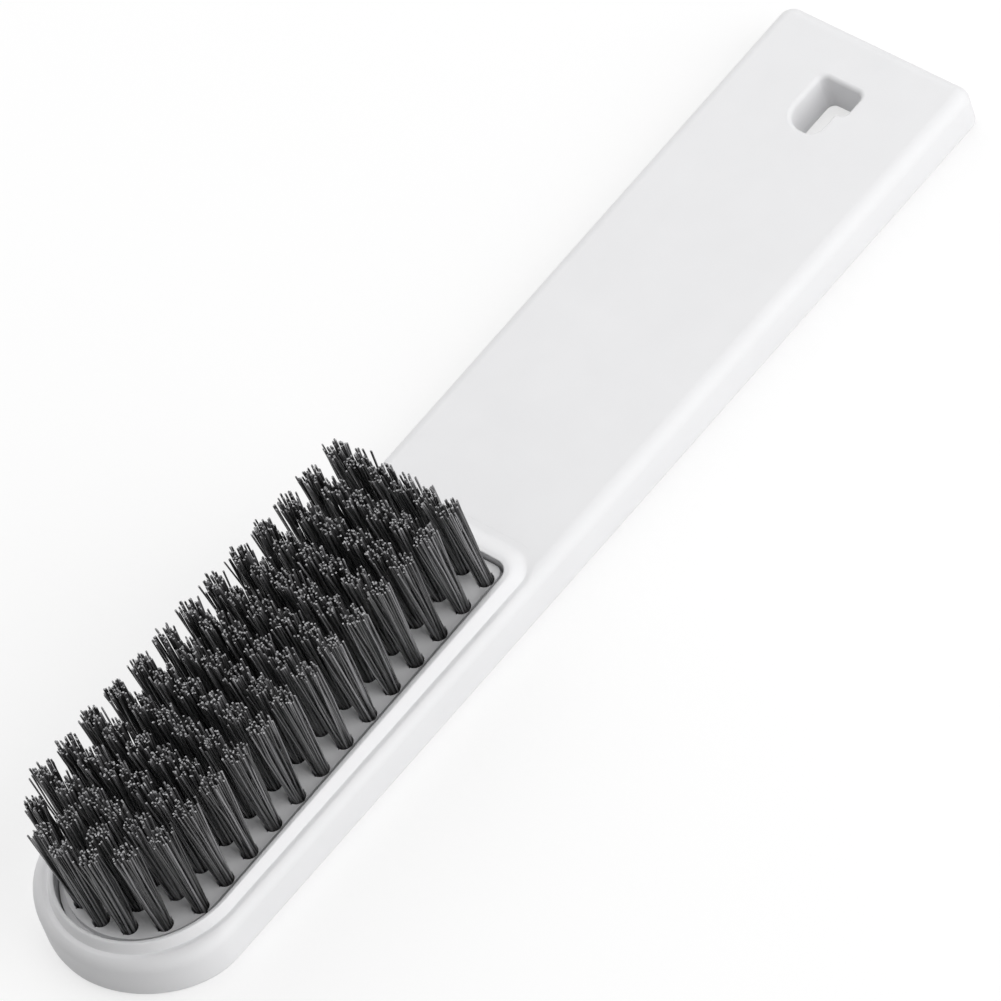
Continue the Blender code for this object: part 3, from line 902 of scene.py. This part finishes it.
def filament_lines(tufts, plate, row, crown, chance):
    """The middle lines of a row's filaments, as (filament, level, 3). A filament stands at a
    sunflower's spot of its tuft's hole, splits off to one side of the anchor below the plate,
    and above it moves out in proportion to its height, to the same spot of a wider crown that
    leans over. A little chance moves its end, and a slight bow bends it."""
    count = tufts.filaments
    spot = np.arange(count) + 0.5
    turn = spot * math.pi * (3 - math.sqrt(5)) + chance.uniform(0, 2 * math.pi, (len(row), 1))
    out = np.sqrt(spot / count)
    unit = np.stack([out * np.cos(turn), out * np.sin(turn)], axis=-1)
    unit += chance.normal(0, SPOT_SHARE, unit.shape)
    root = unit * tufts.bundle / 2
    end = unit * crown + chance.normal(0, tufts.stray, unit.shape)
    end += np.array([-tufts.lean, tufts.lean_across])
    height = tufts.trim + tufts.uneven * chance.uniform(-1, 1, turn.shape)
    bow = chance.normal(0, BOW, unit.shape)
    level = np.array(RISE_SHARES)[None, None, :, None]
    line = root[:, :, None] * (1 - level) + end[:, :, None] * level
    line = line + bow[:, :, None] * (4 * level * (1 - level))
    above = np.concatenate([line, height[..., None, None] * level], axis=-1)
    sunk = np.concatenate([root, np.zeros((*turn.shape, 1))], axis=-1)
    sunk[..., 1] = np.sign(sunk[..., 1]) * (
        plate.nick_width / 2 + tufts.filament / 2 + np.abs(sunk[..., 1]) * SPLIT_SHARE
    )
    sunk[..., 2] = -plate.anchor_depth - plate.anchor_height * FOOT_SHARE
    line = np.concatenate([sunk[:, :, None], above], axis=2)
    line[..., :2] += row[:, None, None]
    line[..., 2] += PLATE_TOP_Z
    return line.reshape(-1, len(RISE_SHARES) + 1, 3)


def make_filaments(name, tufts, plate, row, crown, chance):
    """A row's filaments as one piece: a level ring round each point of each middle line. The
    top ring is tilted, as a cut end is. Each filament has a shade of its own, by chance between
    0 and 1 to a power, and its cut end has how pale it is painted: partly the cut's own paler
    tone, partly a painted highlight where the tips catch the light."""
    lines = filament_lines(tufts, plate, row, crown, chance)
    count, levels = lines.shape[:2]
    angle = 2 * math.pi * np.arange(FILAMENT_SIDES) / FILAMENT_SIDES
    angle = angle + chance.uniform(0, math.pi, (count, 1))
    radius = tufts.filament / 2 * chance.uniform(*THICKNESS_SHARES, (count, 1))
    ring = np.stack([radius * np.cos(angle), radius * np.sin(angle), 0 * angle], axis=-1)
    points = lines[:, :, None] + ring[:, None]
    tilt = chance.normal(0, CUT_SLOPE, (count, 2))
    points[:, -1, :, 2] += np.einsum("ij,ikj->ik", tilt, ring[..., :2])
    piece = skinned(name, points)
    shade = piece.data.attributes.new("filament_shade", "FLOAT", "POINT")
    shades = np.repeat(chance.uniform(0, 1, count) ** SHADE_POWER, levels * FILAMENT_SIDES)
    shade.data.foreach_set("value", shades.astype(np.float32))
    # How pale each cut end is painted: partly its own paler tone, partly a painted highlight on the
    # lit tips
    cut = piece.data.attributes.new("cut_end_and_highlight", "FLOAT", "FACE")
    pale = np.zeros(len(piece.data.polygons), np.float32)
    pale[-count:] = chance.uniform(*CUT_PALE_AND_HIGHLIGHT_SHARES, count)
    cut.data.foreach_set("value", pale)
    piece.data.shade_smooth()
    piece.data.set_sharp_from_angle(angle=math.radians(FILAMENT_SHARP))
    return piece


class SCRUB_BRUSH_OT_tufts(bpy.types.Operator):
    """Stands the tufts in their holes, one piece for each row"""

    bl_idname = "scrub_brush.tufts"
    bl_label = "Tufts"

    def execute(self, context):
        sizes = context.scene.scrub_brush_handle
        tufts = context.scene.scrub_brush_tufts
        plate = context.scene.scrub_brush_plate
        chance = np.random.default_rng(SEED)
        material = filament_plastic("filament_plastic", context.scene.scrub_brush_finishes)
        rows = tuft_places(sizes, tufts)
        if len(rows) != len(TUFT_ROWS):
            raise RuntimeError("the packed model has another number of tuft rows")
        for node, row in zip(TUFT_ROWS, rows):
            crown = np.array([tufts.crown_along, tufts.crown_across])
            if len(row) != tufts.across:
                crown *= tufts.tip_crown
            name = node.replace("tuft_row", "filaments")
            piece = make_filaments(name, tufts, plate, row, crown, chance)
            piece.data.materials.append(material)
            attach(piece, "root")
            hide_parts(node)
        return {"FINISHED"}


# The stage

def photo_directions():
    """The camera's right, up and back: it looks down from beyond the tip's near side, and is
    then rolled so that the handle climbs to the upper right."""
    turn = math.radians(CAMERA_TURN)
    rise = math.radians(CAMERA_RISE)
    roll = math.radians(CAMERA_ROLL)
    back = Vector(
        (math.sin(turn) * math.cos(rise), -math.cos(turn) * math.cos(rise), math.sin(rise))
    )
    level = Vector((math.cos(turn), math.sin(turn), 0))
    upright = back.cross(level)
    right = math.cos(roll) * level + math.sin(roll) * upright
    up = math.cos(roll) * upright - math.sin(roll) * level
    return right, up, back


def add_light(name, power, size, place):
    """A square soft light of this power and width at a place, aimed at the brush."""
    light = bpy.data.lights.new(name, "AREA")
    light.energy = power
    light.size = size
    lamp = bpy.data.objects.new(name, light)
    turn = (-place).to_track_quat("-Z", "Y")
    lamp.matrix_world = Matrix.LocRotScale(place, turn, None)
    bpy.context.scene.collection.objects.link(lamp)


def seen_rays(tree):
    """1 for the rays that the camera, a mirror or glass sends, and 0 for all others."""
    path = tree.nodes.new("ShaderNodeLightPath")
    seen = path.outputs["Is Camera Ray"]
    for name in ("Is Glossy Ray", "Is Transmission Ray"):
        either = tree.nodes.new("ShaderNodeMath")
        either.operation = "MAXIMUM"
        link(tree, seen, either.inputs[0])
        link(tree, path.outputs[name], either.inputs[1])
        seen = either.outputs["Value"]
    return seen


def seen_white(tree, seen, lit, strength):
    """Adds white to a lit surface for the rays that see it."""
    glow = tree.nodes.new("ShaderNodeEmission")
    scaled = tree.nodes.new("ShaderNodeMath")
    scaled.operation = "MULTIPLY"
    scaled.inputs[1].default_value = strength
    link(tree, seen, scaled.inputs[0])
    link(tree, scaled.outputs["Value"], glow.inputs["Strength"])
    added = tree.nodes.new("ShaderNodeAddShader")
    link(tree, lit, added.inputs[0])
    link(tree, glow.outputs["Emission"], added.inputs[1])
    return added.outputs["Shader"]


def lay_floor(stage):
    """A wide square of white paper just under the brush."""
    floor = new_piece("floor", at_height(SQUARE * FLOOR_REACH, -SINK), [[0, 1, 2, 3]])
    material, tree, shader = new_material("floor_paper")
    seen = seen_rays(tree)
    paper = blended(tree, seen, tuple(stage.floor), (stage.floor_lit,) * 3)
    link(tree, paper, shader.inputs["Base Color"])
    shader.inputs["Roughness"].default_value = FLOOR_ROUGHNESS
    shader.inputs["Specular IOR Level"].default_value = 0.0
    output = tree.nodes["Material Output"]
    lit = seen_white(tree, seen, shader.outputs["BSDF"], stage.floor_white)
    link(tree, lit, output.inputs["Surface"])
    floor.data.materials.append(material)


def even_world(stage):
    """A world of even light that looks white."""
    world = bpy.data.worlds.new("studio")
    world.use_nodes = True
    tree = world.node_tree
    tree.nodes.clear()
    even = tree.nodes.new("ShaderNodeBackground")
    even.inputs["Strength"].default_value = stage.fill
    output = tree.nodes.new("ShaderNodeOutputWorld")
    sky = seen_white(tree, seen_rays(tree), even.outputs["Background"], 1 - stage.fill)
    link(tree, sky, output.inputs["Surface"])
    return world


def add_camera(distance):
    """The camera at this distance, a little right of and above the middle of the brush."""
    right, up, back = photo_directions()
    lens = bpy.data.cameras.new("camera")
    lens.sensor_width = CAMERA_SENSOR
    lens.lens = CAMERA_LENS
    lens.clip_end = CAMERA_SIGHT
    camera = bpy.data.objects.new("camera", lens)
    place = back * distance + right * CAMERA_RIGHT + up * CAMERA_UP
    turn = Matrix((right, up, back)).transposed().to_4x4()
    camera.matrix_world = Matrix.Translation(place) @ turn
    bpy.context.scene.collection.objects.link(camera)
    return camera


class SCRUB_BRUSH_OT_stage(bpy.types.Operator):
    """Lays the floor and sets the lights and the camera"""

    bl_idname = "scrub_brush.stage"
    bl_label = "Stage"

    def execute(self, context):
        stage = context.scene.scrub_brush_stage
        lay_floor(stage)
        context.scene.world = even_world(stage)
        front = Vector(KEY_FROM).normalized() * stage.light_distance
        add_light("key", stage.key, stage.key_size, front)
        above = Vector(TOP_FROM).normalized() * stage.light_distance
        add_light("top", stage.top, stage.top_size, above)
        context.scene.camera = add_camera(stage.camera_distance)
        context.scene.view_settings.view_transform = "Standard"
        return {"FINISHED"}


class SCRUB_BRUSH_PT_pieces(bpy.types.Panel):
    """Lists the brush's pieces, sizes and finishes"""

    bl_label = "Scrub Brush"
    bl_idname = "SCRUB_BRUSH_PT_pieces"
    bl_space_type = "VIEW_3D"
    bl_region_type = "UI"
    bl_category = "Scrub Brush"

    def draw(self, context):
        for operator in OPERATORS:
            self.layout.operator(operator.bl_idname)
        for name, group in GROUPS.items():
            box = self.layout.box()
            box.label(text=group.__name__)
            for field in group.__annotations__:
                box.prop(getattr(context.scene, name), field)


GROUPS = {
    "scrub_brush_handle": ScrubBrushHandle,
    "scrub_brush_hole": ScrubBrushHole,
    "scrub_brush_plate": ScrubBrushPlate,
    "scrub_brush_tufts": ScrubBrushTufts,
    "scrub_brush_finishes": ScrubBrushFinishes,
    "scrub_brush_stage": ScrubBrushStage,
}
OPERATORS = (
    SCRUB_BRUSH_OT_handle,
    SCRUB_BRUSH_OT_plate,
    SCRUB_BRUSH_OT_anchors,
    SCRUB_BRUSH_OT_tufts,
    SCRUB_BRUSH_OT_stage,
)
CLASSES = (*GROUPS.values(), *OPERATORS, SCRUB_BRUSH_PT_pieces)


def register():
    """Adds the classes, and each group of values to the scene."""
    for new_class in CLASSES:
        bpy.utils.register_class(new_class)
    for name, group in GROUPS.items():
        setattr(bpy.types.Scene, name, PointerProperty(type=group))


def unregister():
    """Takes the groups of values and the classes away again."""
    for name in GROUPS:
        delattr(bpy.types.Scene, name)
    for old_class in reversed(CLASSES):
        bpy.utils.unregister_class(old_class)


def main():
    """Makes the brush and its stage in order."""
    register()
    bpy.ops.scrub_brush.handle()
    bpy.ops.scrub_brush.plate()
    bpy.ops.scrub_brush.anchors()
    bpy.ops.scrub_brush.tufts()
    bpy.ops.scrub_brush.stage()


if __name__ == "__main__":
    main()
